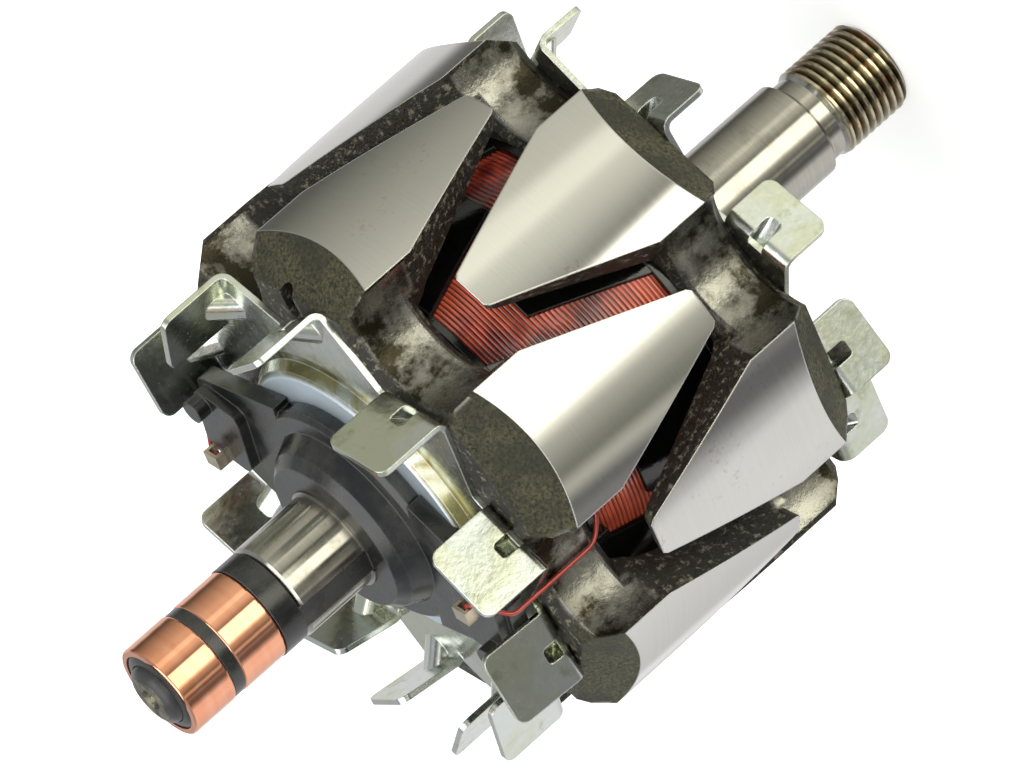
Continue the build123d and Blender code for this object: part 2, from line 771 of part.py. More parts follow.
# Winding leads: both ends of the wire, on opposite sides of the rotor
with BuildPart() as start_lead:
    add(winding_lead(lead_angle))
with BuildPart() as finish_lead:
    add(winding_lead(lead_angle + 180.0))

pieces = {
    "shaft": shaft.part,
    "front_pole_half": front_pole_half.part,
    "rear_pole_half": rear_pole_half.part,
    "pole_core": pole_core.part,
    "bobbin": bobbin.part,
    "field_winding": field_winding.part,
    "front_fan": front_fan_part,
    "rear_fan": rear_fan_part,
    "slip_ring_moulding": slip_ring_moulding.part,
    "outer_slip_ring": outer_slip_ring.part,
    "inner_slip_ring": inner_slip_ring.part,
    "outer_ring_conductor": outer_ring_conductor.part,
    "inner_ring_conductor": inner_ring_conductor.part,
    "start_lead": start_lead.part,
    "finish_lead": finish_lead.part,
}
for label, piece in pieces.items():
    piece.label = label
    export_step(piece, f"parts/{label}.step")
    box = piece.bounding_box()
    print(label, len(piece.solids()), round(piece.volume, 1), [round(v, 2) for v in (*box.min, *box.max)])
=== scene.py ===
# %% [markdown]
# An alternator rotor is a turned shaft that carries two forged claw poles, a red coil between them,
# two stamped fans and a pair of copper slip rings. Its solids come from the CAD frame in metres.
# This lesson loads that frame, sets the camera and the light, and then dresses each piece: solids whose
# form is right only get a finish, and turned or wound pieces are worked out again as fine surfaces.

# %% Load the frame
import bpy
import math
import numpy as np
from mathutils import Matrix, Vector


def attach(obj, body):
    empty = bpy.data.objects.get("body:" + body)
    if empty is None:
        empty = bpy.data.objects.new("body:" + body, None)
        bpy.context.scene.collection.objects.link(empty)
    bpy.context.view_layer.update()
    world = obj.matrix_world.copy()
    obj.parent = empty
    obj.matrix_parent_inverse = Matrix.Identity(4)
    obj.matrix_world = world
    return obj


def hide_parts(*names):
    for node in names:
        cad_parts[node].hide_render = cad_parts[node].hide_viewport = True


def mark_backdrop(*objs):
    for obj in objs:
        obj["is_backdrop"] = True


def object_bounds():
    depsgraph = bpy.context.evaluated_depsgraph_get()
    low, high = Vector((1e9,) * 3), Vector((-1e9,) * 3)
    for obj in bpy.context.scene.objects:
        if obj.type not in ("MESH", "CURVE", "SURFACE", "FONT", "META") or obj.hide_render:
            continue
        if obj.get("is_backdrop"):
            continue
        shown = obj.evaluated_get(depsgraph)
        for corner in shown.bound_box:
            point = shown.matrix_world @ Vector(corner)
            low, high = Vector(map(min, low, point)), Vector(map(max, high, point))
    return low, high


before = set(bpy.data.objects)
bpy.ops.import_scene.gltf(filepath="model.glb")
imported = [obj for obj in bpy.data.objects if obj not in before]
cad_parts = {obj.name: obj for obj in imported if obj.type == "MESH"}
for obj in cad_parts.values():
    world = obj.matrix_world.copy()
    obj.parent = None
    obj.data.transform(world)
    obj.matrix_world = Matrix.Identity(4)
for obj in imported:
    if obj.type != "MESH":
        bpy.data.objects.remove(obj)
cad_low, cad_high = (list(corner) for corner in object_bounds())
MM = 0.001
print("CAD box in mm:", [round(v / MM, 1) for v in cad_low + cad_high])

# %% [markdown]
# The camera stands where the photographer stood: about 1.5 m away with a long lens, 19 degrees above the
# plane across the shaft, and turned so that the slip rings point to the lower left of the picture.
# A long lens keeps the round faces nearly parallel, so its place and its focal length go together.

# %% The camera
camera_place = np.array([-0.95918, 1.03802, 0.56907])
camera_right = np.array([0.319385, 0.629575, -0.708258])
camera_up = np.array([-0.69758, -0.349667, -0.625392])
camera_back = np.cross(camera_right, camera_up)
rotor_middle = np.array([0.0, 0.0, 77.3 * MM])


def placed_matrix(right, up, back, place):
    """Matrix whose columns are the three axes and the place."""
    return Matrix([[right[i], up[i], back[i], place[i]] for i in range(3)] + [[0.0, 0.0, 0.0, 1.0]])


camera_data = bpy.data.cameras.new("photo_camera")
camera_data.sensor_width = 36.0
camera_data.lens = 346.2
camera_data.clip_start = 0.05
camera_data.clip_end = 20.0
camera = bpy.data.objects.new("photo_camera", camera_data)
camera.matrix_world = placed_matrix(camera_right, camera_up, camera_back, camera_place)
bpy.context.collection.objects.link(camera)
bpy.context.scene.camera = camera
print("camera distance in m:", round(float(np.linalg.norm(camera_place - rotor_middle)), 3))

# %% [markdown]
# Every new piece is a grid of points that numpy works out, and every finish is a few shader nodes. Colour
# codes are sRGB, as a paint program shows them, while shaders reckon in linear light, so a code is turned
# into linear light first.

# %% Colours and shader nodes
def linear(code):
    """Turns an sRGB hex colour into the linear values that the shaders use."""
    srgb = np.array([int(code[i:i + 2], 16) / 255 for i in (1, 3, 5)])
    values = np.where(srgb <= 0.04045, srgb / 12.92, ((srgb + 0.055) / 1.055) ** 2.4)
    return (*values.tolist(), 1.0)


def add(finish, kind, inputs, out=None, **settings):
    """Adds one shader node, or takes one that is there, sets it, feeds its inputs and gives one output."""
    node = kind if isinstance(kind, bpy.types.Node) else finish.node_tree.nodes.new("ShaderNode" + kind)
    for setting, value in settings.items():
        setattr(node, setting, value)
    sockets = {socket.name: socket for socket in reversed(node.inputs) if socket.enabled}
    for name, value in inputs.items():
        socket = sockets[name] if name in sockets else node.inputs[name]
        if isinstance(value, bpy.types.NodeSocket):
            finish.node_tree.links.new(value, socket)
        else:
            socket.default_value = value
    return node.outputs[out] if out else [socket for socket in node.outputs if socket.enabled][0]


# Settings that many nodes share: a map that eases in and out, and a mix of colours instead of numbers.
smooth = {"interpolation_type": "SMOOTHSTEP"}
in_colour = {"data_type": "RGBA"}
print("mid grey in linear light:", round(linear("#808080")[0], 3))


# %% Meshes from grids of points
def grid_mesh(name, points, wrap_rows=False, wrap_columns=True):
    """Builds a mesh from an array of rows x columns x 3 points, a quad between each four neighbours."""
    rows, columns = points.shape[:2]
    index = np.arange(rows * columns).reshape(rows, columns)
    if wrap_rows:
        index = np.vstack([index, index[:1]])
    if wrap_columns:
        index = np.hstack([index, index[:, :1]])
    corners = [index[:-1, :-1], index[:-1, 1:], index[1:, 1:], index[1:, :-1]]
    quads = np.stack(corners, -1).reshape(-1, 4)
    mesh = bpy.data.meshes.new(name)
    mesh.vertices.add(rows * columns)
    mesh.vertices.foreach_set("co", np.ascontiguousarray(points, dtype=np.float32).ravel())
    mesh.loops.add(quads.size)
    mesh.loops.foreach_set("vertex_index", quads.ravel().astype(np.int32))
    mesh.polygons.add(len(quads))
    mesh.polygons.foreach_set("loop_start", np.arange(0, quads.size, 4, dtype=np.int32))
    mesh.polygons.foreach_set("use_smooth", np.ones(len(quads), dtype=bool))
    mesh.update(calc_edges=True)
    mesh.validate()
    piece = bpy.data.objects.new(name, mesh)
    bpy.context.collection.objects.link(piece)
    return piece


def turn_profile(radii, heights, columns):
    """Carries a profile round the shaft: x = r cos a, y = r sin a, z = height, at evenly spaced angles a."""
    angles = np.linspace(0, 2 * np.pi, columns, endpoint=False)
    r, a = np.meshgrid(radii, angles, indexing="ij")
    return np.stack([r * np.cos(a), r * np.sin(a), np.broadcast_to(heights[:, None], r.shape)], -1)


print("a ring of 3 corners turned to 8 columns:", turn_profile(np.ones(3), np.arange(3.0), 8).shape)

# %% [markdown]
# Bare metal shows its surroundings, so the light matters as much as the finish. The rotor lay on a white
# table, made here as a plain white sheet with a slight glow of its own. The metal doesn't mirror it, since
# the room that follows holds all that the metal should show.

# %% The white table
table_half = 6.0
table_x, table_y = np.meshgrid([-table_half, table_half], [-table_half, table_half])
table_points = np.stack([table_x, table_y, np.full_like(table_x, cad_low[2])], -1)
table = grid_mesh("studio_table", table_points, wrap_columns=False)
opal_acrylic = bpy.data.materials.new("opal_acrylic_light_table")
opal_acrylic.use_nodes = True
add(opal_acrylic, opal_acrylic.node_tree.nodes["Principled BSDF"], {
    "Base Color": linear("#F2F2F1"),
    "Roughness": 0.95,
    "Emission Color": linear("#FFFFFF"),
    "Emission Strength": 0.6,
})
table.data.materials.append(opal_acrylic)
table.visible_glossy = False
print("table at z in mm:", round(cad_low[2] / MM, 2))

# %% [markdown]
# Seen from low down, a table shows its far edge. A backdrop that sweeps up in a curve hides it. Only the
# camera sees the backdrop, so it takes no light from the rotor.

# %% The backdrop
sweep_steps, backdrop_columns = 24, 96
sweep_radius, wall_height = 1.5, 3.0
sweep = np.append(np.linspace(0, math.pi / 2, sweep_steps), math.pi / 2)
backdrop_radii = 4.0 + sweep_radius * np.sin(sweep)
wall = np.append(np.zeros(sweep_steps), wall_height)
backdrop_heights = cad_low[2] + 1.0 * MM + sweep_radius * (1 - np.cos(sweep)) + wall
backdrop = grid_mesh("studio_backdrop", turn_profile(backdrop_radii, backdrop_heights, backdrop_columns))
backdrop.data.materials.append(opal_acrylic)
backdrop.visible_diffuse = False
backdrop.visible_glossy = False
backdrop.visible_transmission = False
backdrop.visible_shadow = False
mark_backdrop(table, backdrop)
print("backdrop faces:", len(backdrop.data.polygons))

# %% [markdown]
# The studio has pale panels with dim gaps between them. A turned claw mirrors each panel as a long white
# band and each gap as a grey one, so the room is drawn here as a ring of greys round the rotor, placed where
# the bands on the claws ask for them. Above the ring it fades to an even grey ceiling.

# %% The room
# Direction in degrees round the shaft, and brightness, where 1 is the white of a lit wall.
room_bands = [
    (0, 0.92), (28, 1.12), (50, 1.08), (59, 0.50), (65, 0.20), (72, 0.19), (77, 0.34), (83, 0.18), (89, 0.78),
    (94, 0.25), (107, 0.70), (111, 1.4), (116, 3.2), (145, 3.2), (148, 0.34), (161, 0.88), (169, 1.06),
    (173, 1.45), (180, 1.36), (185, 0.90), (196, 0.84), (209, 0.66), (240, 0.33), (257, 0.14), (264, 0.22),
    (272, 0.85), (300, 0.85), (318, 0.58), (334, 1.05), (341, 0.75),
]
brightest_band = 4.0
warm_from, warm_to, warm_blue = 85, 262, 0.86

world = bpy.data.worlds.new("studio_room")
world.use_nodes = True
heading = add(world, "SeparateXYZ", {"Vector": add(world, "TexCoord", {}, "Generated")}).node.outputs
azimuth = add(world, "Math", {0: heading[1], 1: heading[0]}, operation="ARCTAN2")
round_room = add(world, "MapRange", {"Value": azimuth, "From Min": -math.pi, "From Max": math.pi})
ring = add(world, "ValToRGB", {"Fac": round_room}).node
room_stops = sorted(((turn + 180) % 360 / 360, grey) for turn, grey in room_bands)
room_stops.append((1.0, room_stops[0][1]))
for index, (stop, grey) in enumerate(room_stops):
    element = ring.color_ramp.elements[index] if index < 2 else ring.color_ramp.elements.new(stop)
    element.position = stop
    turn = (360 * stop - 180) % 360
    blue = warm_blue if warm_from < turn < warm_to else 1.0
    element.color = (grey / brightest_band, grey / brightest_band, blue * grey / brightest_band, 1.0)
near_wall = add(world, "MapRange", {
    "Value": heading[2], "From Min": 0.10, "From Max": 0.45, "To Min": 1.0, "To Max": 0.0,
}, **smooth)
room = add(world, "Mix", {"Factor": near_wall, "A": linear("#636567"), "B": ring.outputs[0]}, **in_colour)
add(world, world.node_tree.nodes["Background"], {"Color": room, "Strength": brightest_band})
bpy.context.scene.world = world
bpy.context.scene.view_settings.view_transform = "Standard"
print("bands in the room:", len(room_bands))

# %% [markdown]
# One large soft panel hangs over the rotor and gives the faint shade on the table.

# %% The panel overhead
panel_turn, panel_reach, panel_height = math.radians(140.0), 0.25, 1.2
panel_side_length, panel_glow = 1.3, 2.4
panel_place = np.array([panel_reach * math.cos(panel_turn), panel_reach * math.sin(panel_turn), panel_height])
panel_back = panel_place / np.linalg.norm(panel_place)
panel_right = np.cross((0.0, 0.0, 1.0), panel_back)
panel_right /= np.linalg.norm(panel_right)
panel_up = np.cross(panel_back, panel_right)
panel_data = bpy.data.lights.new("overhead_panel", "AREA")
panel_data.shape = "RECTANGLE"
panel_data.size = panel_side_length
panel_data.size_y = panel_side_length
panel_data.energy = panel_glow * math.pi * panel_side_length * panel_side_length
panel = bpy.data.objects.new("overhead_panel", panel_data)
panel.matrix_world = placed_matrix(panel_right, panel_up, panel_back, panel_place)
panel.visible_camera = False
bpy.context.collection.objects.link(panel)
print("panel energy in W:", round(panel_data.energy, 2))

# %% [markdown]
# The claw poles are hot-forged low-carbon steel, dipped in dark varnish after winding. The rotor is then
# turned on a lathe, which leaves bright faces only on the claws. One finish covers a whole forging, and the
# shader finds the parts of it by their place: the turned faces by their radius, the scooped valleys by the
# distance from each scoop's axis, and the sloping end of each claw by its normal.

# %% Sizes that the finishes share with the CAD
claw_radius = cad_high[0]
scoop_radius = 11.3 * MM
scoop_centre_radius = 46.6 * MM
pole_middle = float(rotor_middle[2])
disc_start = 15.2 * MM
claw_root_radius = 40.0 * MM
print("claw radius in mm:", round(claw_radius / MM, 2))


# %% Where things are on a piece
def start_finish(name):
    """Starts a material, and gives it with its Object coordinates."""
    finish = bpy.data.materials.new(name)
    finish.use_nodes = True
    return finish, add(finish, "TexCoord", {}, "Object")


def shaft_coordinates(finish, place):
    """Gives x, y and z, and the distance from the shaft's axis."""
    x, y, z = add(finish, "SeparateXYZ", {"Vector": place}).node.outputs
    flat = add(finish, "VectorMath", {0: place, 1: (1.0, 1.0, 0.0)}, operation="MULTIPLY")
    return x, y, z, add(finish, "VectorMath", {0: flat}, operation="LENGTH")


def valley_mask(finish, angle, radius, from_middle, first_valley_degrees):
    """1 in the scoops: folds the angle round the shaft to one sixth, then measures from the scoop's axis."""
    fold_start = math.radians(first_valley_degrees - 30.0)
    from_first = add(finish, "Math", {0: angle, 1: fold_start}, operation="SUBTRACT")
    sixth = add(finish, "Math", {0: from_first, 1: math.radians(60.0)}, operation="FLOORED_MODULO")
    folded = add(finish, "Math", {0: sixth, 1: math.radians(30.0)}, operation="SUBTRACT")
    spun = add(finish, "VectorRotate", {"Vector": (1.0, 0.0, 0.0), "Angle": folded}, rotation_type="Z_AXIS")
    in_sixth = add(finish, "VectorMath", {0: spun, "Scale": radius}, operation="SCALE")
    scoop_axis = (scoop_centre_radius, 0.0, 0.0)
    from_scoop = add(finish, "VectorMath", {0: in_sixth, 1: scoop_axis}, operation="DISTANCE")
    scooped = add(finish, "MapRange", {
        "Value": from_scoop, "From Min": scoop_radius + 0.2 * MM, "From Max": scoop_radius + 0.7 * MM,
        "To Min": 1.0, "To Max": 0.0,
    })
    below_claw = add(finish, "Math", {0: radius, 1: claw_radius - 0.8 * MM}, operation="LESS_THAN")
    in_disc = add(finish, "MapRange", {
        "Value": from_middle, "From Min": disc_start, "From Max": disc_start + 1.0 * MM,
    })
    valley = add(finish, "Math", {0: scooped, 1: below_claw}, operation="MULTIPLY")
    return add(finish, "Math", {0: valley, 1: in_disc}, operation="MULTIPLY")


def slope_mask(finish, radius):
    """1 on the sloping claw ends, where the normal leans between the axis and the radius."""
    true_normal = add(finish, "NewGeometry", {}, "True Normal")
    along_axis = add(finish, "SeparateXYZ", {"Vector": true_normal}).node.outputs[2]
    lean = add(finish, "Math", {0: along_axis}, operation="ABSOLUTE")
    leans = add(finish, "MapRange", {"Value": lean, "From Min": 0.40, "From Max": 0.52})
    not_flat = add(finish, "MapRange", {
        "Value": lean, "From Min": 0.86, "From Max": 0.94, "To Min": 1.0, "To Max": 0.0,
    })
    outside = add(finish, "Math", {0: radius, 1: claw_root_radius}, operation="GREATER_THAN")
    slope = add(finish, "Math", {0: leans, 1: not_flat}, operation="MULTIPLY")
    return add(finish, "Math", {0: slope, 1: outside}, operation="MULTIPLY")


print("scoop radius in mm:", round(scoop_radius / MM, 2))


# %% [markdown]
# Three colours meet on a forging. The varnish is near black, with pale metal where grit stands through it,
# and it looks olive brown on the sloping ends. The scoops keep the silvery scale of the forge with brown
# stains, and they are painted darker next to the fan as shade. The turned faces are bright, with a few
# freckles of rust.

# %% Colours of the forging
blotch_size = 8.0 * MM
crust_size = 7.0 * MM
speck_size = 1.3 * MM
grain_size = 0.55 * MM
freckle_size = 1.1 * MM


def varnish_colour(finish, sloping, blotch, grain, speck):
    """Near black with pale specks, and olive crumbs on the sloping ends."""
    dark = add(finish, "Mix", {"Factor": blotch, "A": linear("#100E0B"), "B": linear("#2B261D")}, **in_colour)
    worn = add(finish, "MapRange", {
        "Value": speck, "From Min": 0.53, "From Max": 0.66, "To Max": 0.85,
    }, **smooth)
    varnish = add(finish, "Mix", {"Factor": worn, "A": dark, "B": linear("#8C8470")}, **in_colour)
    crumbs = add(finish, "MapRange", {"Value": grain, "From Min": 0.36, "From Max": 0.66})
    gritty = add(finish, "Mix", {
        "Factor": crumbs, "A": linear("#12110A"), "B": linear("#5A5639"),
    }, **in_colour)
    smeared = add(finish, "MapRange", {
        "Value": blotch, "From Min": 0.42, "From Max": 0.62, "To Max": 0.65,
    }, **smooth)
    gritty = add(finish, "Mix", {"Factor": smeared, "A": gritty, "B": linear("#26241A")}, **in_colour)
    return add(finish, "Mix", {"Factor": sloping, "A": varnish, "B": gritty}, **in_colour)


def scale_colour(finish, from_middle, crust, speck):
    """Silvery crumbs under brown stains, with painted shade that darkens them towards the fan."""
    silvery = add(finish, "Mix", {
        "Factor": speck, "A": linear("#7D7A72"), "B": linear("#B4B1A6"),
    }, **in_colour)
    stain_and_shade = add(finish, "MapRange", {
        "Value": crust, "From Min": 0.42, "From Max": 0.64, "To Max": 0.90,
    }, **smooth)
    # Painted shade: the scoops are painted darker towards the fan, which shades them.
    shade_by_fan = add(finish, "MapRange", {
        "Value": from_middle, "From Min": 18.5 * MM, "From Max": 25.5 * MM, "To Min": -0.08, "To Max": 0.55,
    })
    stain_and_shade = add(finish, "Math", {0: stain_and_shade, 1: shade_by_fan}, operation="ADD", use_clamp=True)
    return add(finish, "Mix", {"Factor": stain_and_shade, "A": silvery, "B": linear("#2F2A1D")}, **in_colour)


def turned_colour(finish, place, grooves):
    """Bright steel whose tone follows the lathe grooves, with faint rust freckles in patches."""
    wide = add(finish, "TexNoise", {"Vector": place, "Scale": 1 / (26.0 * MM), "Detail": 3.0})
    bright = add(finish, "Mix", {"Factor": wide, "A": linear("#C4C1BC"), "B": linear("#CFCDC9")}, **in_colour)
    groove_tone = add(finish, "MapRange", {
        "Value": grooves, "From Min": 0.35, "From Max": 0.65, "To Min": 0.985, "To Max": 1.01,
    })
    bright = add(finish, "VectorMath", {0: bright, "Scale": groove_tone}, operation="SCALE")
    freckles = add(finish, "TexNoise", {
        "Vector": place, "Scale": 1 / freckle_size, "Detail": 5.0, "Roughness": 0.7,
    })
    rust_patch = add(finish, "TexNoise", {"Vector": place, "Scale": 1 / (13.0 * MM), "Detail": 1.0})
    rusty = add(finish, "Math", {0: freckles, 1: rust_patch}, operation="MULTIPLY")
    rusty = add(finish, "MapRange", {
        "Value": rusty, "From Min": 0.37, "From Max": 0.45, "To Max": 0.24,
    }, **smooth)
    return add(finish, "Mix", {"Factor": rusty, "A": bright, "B": linear("#8A5A44")}, **in_colour)


print("varnish specks and grains in mm:", round(speck_size / MM, 2), round(grain_size / MM, 2))


# %% [markdown]
# Lathe grooves run round the shaft, so a reflection stays sharp round the claw and smears along it. That is
# what Anisotropic does, with a tangent that runs round the axis. The real grooves are one or two tenths of a
# millimetre apart, too fine to show here, so their noise is drawn coarser, at 0.4 mm.

# %% Forged and turned pole steel
groove_pitch = 0.4 * MM


def forged_pole_finish(name, first_valley_degrees):
    """Varnished forging with bright turned claw faces, for the half whose first valley is at this angle."""
    finish, place = start_finish(name)
    x, y, z, radius = shaft_coordinates(finish, place)
    angle = add(finish, "Math", {0: y, 1: x}, operation="ARCTAN2")
    above_middle = add(finish, "Math", {0: z, 1: pole_middle}, operation="SUBTRACT")
    from_middle = add(finish, "Math", {0: above_middle}, operation="ABSOLUTE")
    turned = add(finish, "MapRange", {
        "Value": radius, "From Min": claw_radius - 0.10 * MM, "From Max": claw_radius - 0.05 * MM,
    })
    valley = valley_mask(finish, angle, radius, from_middle, first_valley_degrees)
    sloping = slope_mask(finish, radius)

    # Noise: wide blotches, the crust of the forge, specks, fine grains, and grooves round the shaft.
    blotch = add(finish, "TexNoise", {"Vector": place, "Scale": 1 / blotch_size, "Detail": 5.0})
    crust = add(finish, "TexNoise", {
        "Vector": place, "Scale": 1 / crust_size, "Detail": 8.0, "Roughness": 0.68,
    })
    speck = add(finish, "TexNoise", {
        "Vector": place, "Scale": 1 / speck_size, "Detail": 4.0, "Roughness": 0.75,
    })
    grain = add(finish, "TexNoise", {
        "Vector": place, "Scale": 1 / grain_size, "Detail": 4.0, "Roughness": 0.7,
    })
    faint_angle = add(finish, "Math", {0: angle, 1: 0.6 * MM}, operation="MULTIPLY")
    round_shaft = add(finish, "CombineXYZ", {"X": faint_angle, "Z": z})
    grooves = add(finish, "TexNoise", {"Vector": round_shaft, "Scale": 1 / groove_pitch, "Detail": 2.0})

    colour = varnish_colour(finish, sloping, blotch, grain, speck)
    scale = scale_colour(finish, from_middle, crust, speck)
    colour = add(finish, "Mix", {"Factor": valley, "A": colour, "B": scale}, **in_colour)
    bright = turned_colour(finish, place, grooves)
    colour = add(finish, "Mix", {"Factor": turned, "A": colour, "B": bright}, **in_colour)

    # The turned steel is metal, the scale nearly so, and the varnish is a glossy skin over the grit.
    nearly_metal = add(finish, "Math", {0: valley, 1: 0.85}, operation="MULTIPLY")
    metal = add(finish, "Math", {0: turned, 1: nearly_metal}, operation="MAXIMUM")
    rough_skin = add(finish, "MapRange", {
        "Value": speck, "From Min": 0.35, "From Max": 0.65, "To Min": 0.28, "To Max": 0.52,
    })
    rough_skin = add(finish, "Mix", {"Factor": sloping, "A": rough_skin, "B": 0.62})
    rough_scale = add(finish, "MapRange", {
        "Value": speck, "From Min": 0.35, "From Max": 0.65, "To Min": 0.18, "To Max": 0.34,
    })
    rough_skin = add(finish, "Mix", {"Factor": valley, "A": rough_skin, "B": rough_scale})
    rough_turned = add(finish, "MapRange", {
        "Value": grooves, "From Min": 0.3, "From Max": 0.7, "To Min": 0.125, "To Max": 0.15,
    })
    rough = add(finish, "Mix", {"Factor": turned, "A": rough_skin, "B": rough_turned})

    # Height: grains on the varnish, crust and specks in the scoops, and almost none on the turned faces.
    scaly = add(finish, "Mix", {"Factor": 0.5, "A": crust, "B": speck})
    scaly = add(finish, "Math", {0: scaly, 1: 0.55}, operation="MULTIPLY")
    crumbly = add(finish, "Mix", {"Factor": valley, "A": grain, "B": scaly})
    not_turned = add(finish, "Math", {0: 1.0, 1: turned}, operation="SUBTRACT")
    crumbly = add(finish, "Math", {0: crumbly, 1: not_turned}, operation="MULTIPLY")
    edge = add(finish, "Bevel", {"Radius": 0.4 * MM}, samples=4)
    grit_normal = add(finish, "Bump", {
        "Height": crumbly, "Distance": 0.45 * MM, "Strength": 0.9, "Normal": edge,
    })
    groove_height = add(finish, "Math", {0: grooves, 1: turned}, operation="MULTIPLY")
    normal = add(finish, "Bump", {
        "Height": groove_height, "Distance": 0.0006 * MM, "Strength": 0.3, "Normal": grit_normal,
    })
    add(finish, finish.node_tree.nodes["Principled BSDF"], {
        "Base Color": colour,
        "Metallic": metal,
        "Roughness": rough,
        "Anisotropic": 0.85,
        "Anisotropic Rotation": 0.25,
        "Tangent": add(finish, "Tangent", {}, direction_type="RADIAL", axis="Z"),
        "Normal": normal,
    })
    return finish


rear_pole_steel = forged_pole_finish("rear_forged_pole_steel", 30.0)
front_pole_steel = forged_pole_finish("front_forged_pole_steel", 0.0)
print("pole finishes:", rear_pole_steel.name, front_pole_steel.name)

# %% [markdown]
# The fans are cold-rolled sheet, stamped, bent and zinc plated with a thin passivation. That film gives a
# grey metal a soft drift towards green and olive, most of it in the crease round the raised middle. The
# raised middle is painted a lighter blue-grey as a sheen, and the edges that the press cut get a painted
# highlight.

# %% Zinc-plated sheet
fan_plateau_radius = 25.0 * MM
fan_plateau_bottom = 100.0 * MM
fan_crease_radius, fan_crease_half_width = 26.4 * MM, 1.6 * MM


def zinc_plate_finish():
    """Passivated zinc: grey metal whose thin film drifts towards olive over about 10 mm."""
    finish, place = start_finish("passivated_zinc_plate")
    _, _, z, radius = shaft_coordinates(finish, place)
    drift = add(finish, "TexNoise", {
        "Vector": place, "Scale": 1 / (10.0 * MM), "Detail": 4.0, "Distortion": 0.8,
    })
    cloud = add(finish, "TexNoise", {
        "Vector": place, "Scale": 1 / (4.0 * MM), "Detail": 5.0, "Roughness": 0.6,
    })
    fine = add(finish, "TexNoise", {
        "Vector": place, "Scale": 1 / (1.0 * MM), "Detail": 4.0, "Roughness": 0.6,
    })

    # The film: grey to green, with olive clouds and olive brown in the crease; the raised middle gets a
    # painted sheen of lighter blue-grey.
    drifted = add(finish, "MapRange", {"Value": drift, "From Min": 0.38, "From Max": 0.62}, **smooth)
    film = add(finish, "Mix", {
        "Factor": drifted, "A": linear("#CCD0CC"), "B": linear("#C6C9B6"),
    }, **in_colour)
    olive = add(finish, "MapRange", {
        "Value": cloud, "From Min": 0.56, "From Max": 0.72, "To Max": 0.5,
    }, **smooth)
    film = add(finish, "Mix", {"Factor": olive, "A": film, "B": linear("#94966E")}, **in_colour)
    inside = add(finish, "MapRange", {
        "Value": radius, "From Min": fan_plateau_radius - 0.4 * MM, "From Max": fan_plateau_radius + 0.2 * MM,
        "To Min": 1.0, "To Max": 0.0,
    })
    raised = add(finish, "MapRange", {
        "Value": z, "From Min": fan_plateau_bottom, "From Max": fan_plateau_bottom + 1.0 * MM,
    })
    plateau = add(finish, "Math", {0: inside, 1: raised}, operation="MULTIPLY")
    crease = add(finish, "Math", {
        0: radius, 1: fan_crease_radius, 2: fan_crease_half_width,
    }, operation="COMPARE")
    drifted_crease = add(finish, "Math", {0: drifted, 1: crease}, operation="MULTIPLY")
    creased = add(finish, "Math", {0: drifted_crease, 1: raised}, operation="MULTIPLY")
    film = add(finish, "Mix", {"Factor": creased, "A": film, "B": linear("#8C865A")}, **in_colour)
    # Painted sheen: the raised middle is painted a lighter blue-grey.
    film = add(finish, "Mix", {"Factor": plateau, "A": film, "B": linear("#D5E1E8")}, **in_colour)

    # Cut edges: where the rounded normal turns away from the true one, the sheet gets a painted highlight.
    edge = add(finish, "Bevel", {"Radius": 0.3 * MM}, samples=4)
    true_normal = add(finish, "NewGeometry", {}, "True Normal")
    turn = add(finish, "VectorMath", {0: edge, 1: true_normal}, operation="DOT_PRODUCT")
    edge_highlight = add(finish, "MapRange", {"Value": turn, "From Min": 0.995, "From Max": 0.90, "To Max": 0.8})
    film = add(finish, "Mix", {"Factor": edge_highlight, "A": film, "B": linear("#E4E5DC")}, **in_colour)

    polish = add(finish, "MapRange", {
        "Value": fine, "From Min": 0.3, "From Max": 0.7, "To Min": 0.16, "To Max": 0.28,
    })
    waves = add(finish, "Bump", {"Height": drift, "Distance": 0.8 * MM, "Strength": 0.12, "Normal": edge})
    ripple = add(finish, "Mix", {"Factor": 0.5, "A": fine, "B": cloud})
    add(finish, finish.node_tree.nodes["Principled BSDF"], {
        "Base Color": film,
        "Metallic": 1.0,
        "Roughness": add(finish, "Mix", {"Factor": plateau, "A": polish, "B": 0.50}),
        "Normal": add(finish, "Bump", {
            "Height": ripple, "Distance": 0.09 * MM, "Strength": 0.30, "Normal": waves,
        }),
    })
    return finish


zinc_plate = zinc_plate_finish()
print("fan finish:", zinc_plate.name)

# %% [markdown]
# The shaft is medium-carbon steel. Its journals are ground, with a fine grain that runs round them, too fine
# to show, so it is drawn coarser at 0.6 mm. Its thread is rolled and keeps a brown oily film, and it is
# painted dark in the grooves as shade and light on the crests as a highlight.
# At the slip rings the end was hammered over, which leaves a dented middle in a dark collar.

# %% Sizes of the shaft
shaft_length = cad_high[2]
thread_pitch = 1.5 * MM
thread_end = 12.9 * MM
thread_crest = 8.0 * MM
thread_depth = 0.80 * MM
staked_end = 152.0 * MM
collar_radius = 3.8 * MM
print("shaft length and thread end in mm:", round(shaft_length / MM, 1), round(thread_end / MM, 1))


# %% Shaft steel
def thread_colour_with_painted_light(finish, radius, stain, oil):
    """Brown oil and rust on the thread, painted dark in the grooves as shade and light on the crests as a
    highlight.
    """
    # Painted shade and highlight: by radius, the grooves are painted dark and the crests light.
    crest_vs_groove_shade = add(finish, "MapRange", {
        "Value": radius, "From Min": thread_crest - 0.75 * MM, "From Max": thread_crest - 0.05 * MM,
    })
    film = add(finish, "Mix", {"Factor": crest_vs_groove_shade, "A": linear("#5A5040"), "B": linear("#B3AA93")}, **in_colour)
    film = add(finish, "Mix", {"Factor": oil, "A": film, "B": linear("#4D4538")}, **in_colour)
    rust = add(finish, "MapRange", {
        "Value": stain, "From Min": 0.48, "From Max": 0.62, "To Max": 0.5,
    }, **smooth)
    return add(finish, "Mix", {"Factor": rust, "A": film, "B": linear("#8A6442")}, **in_colour)


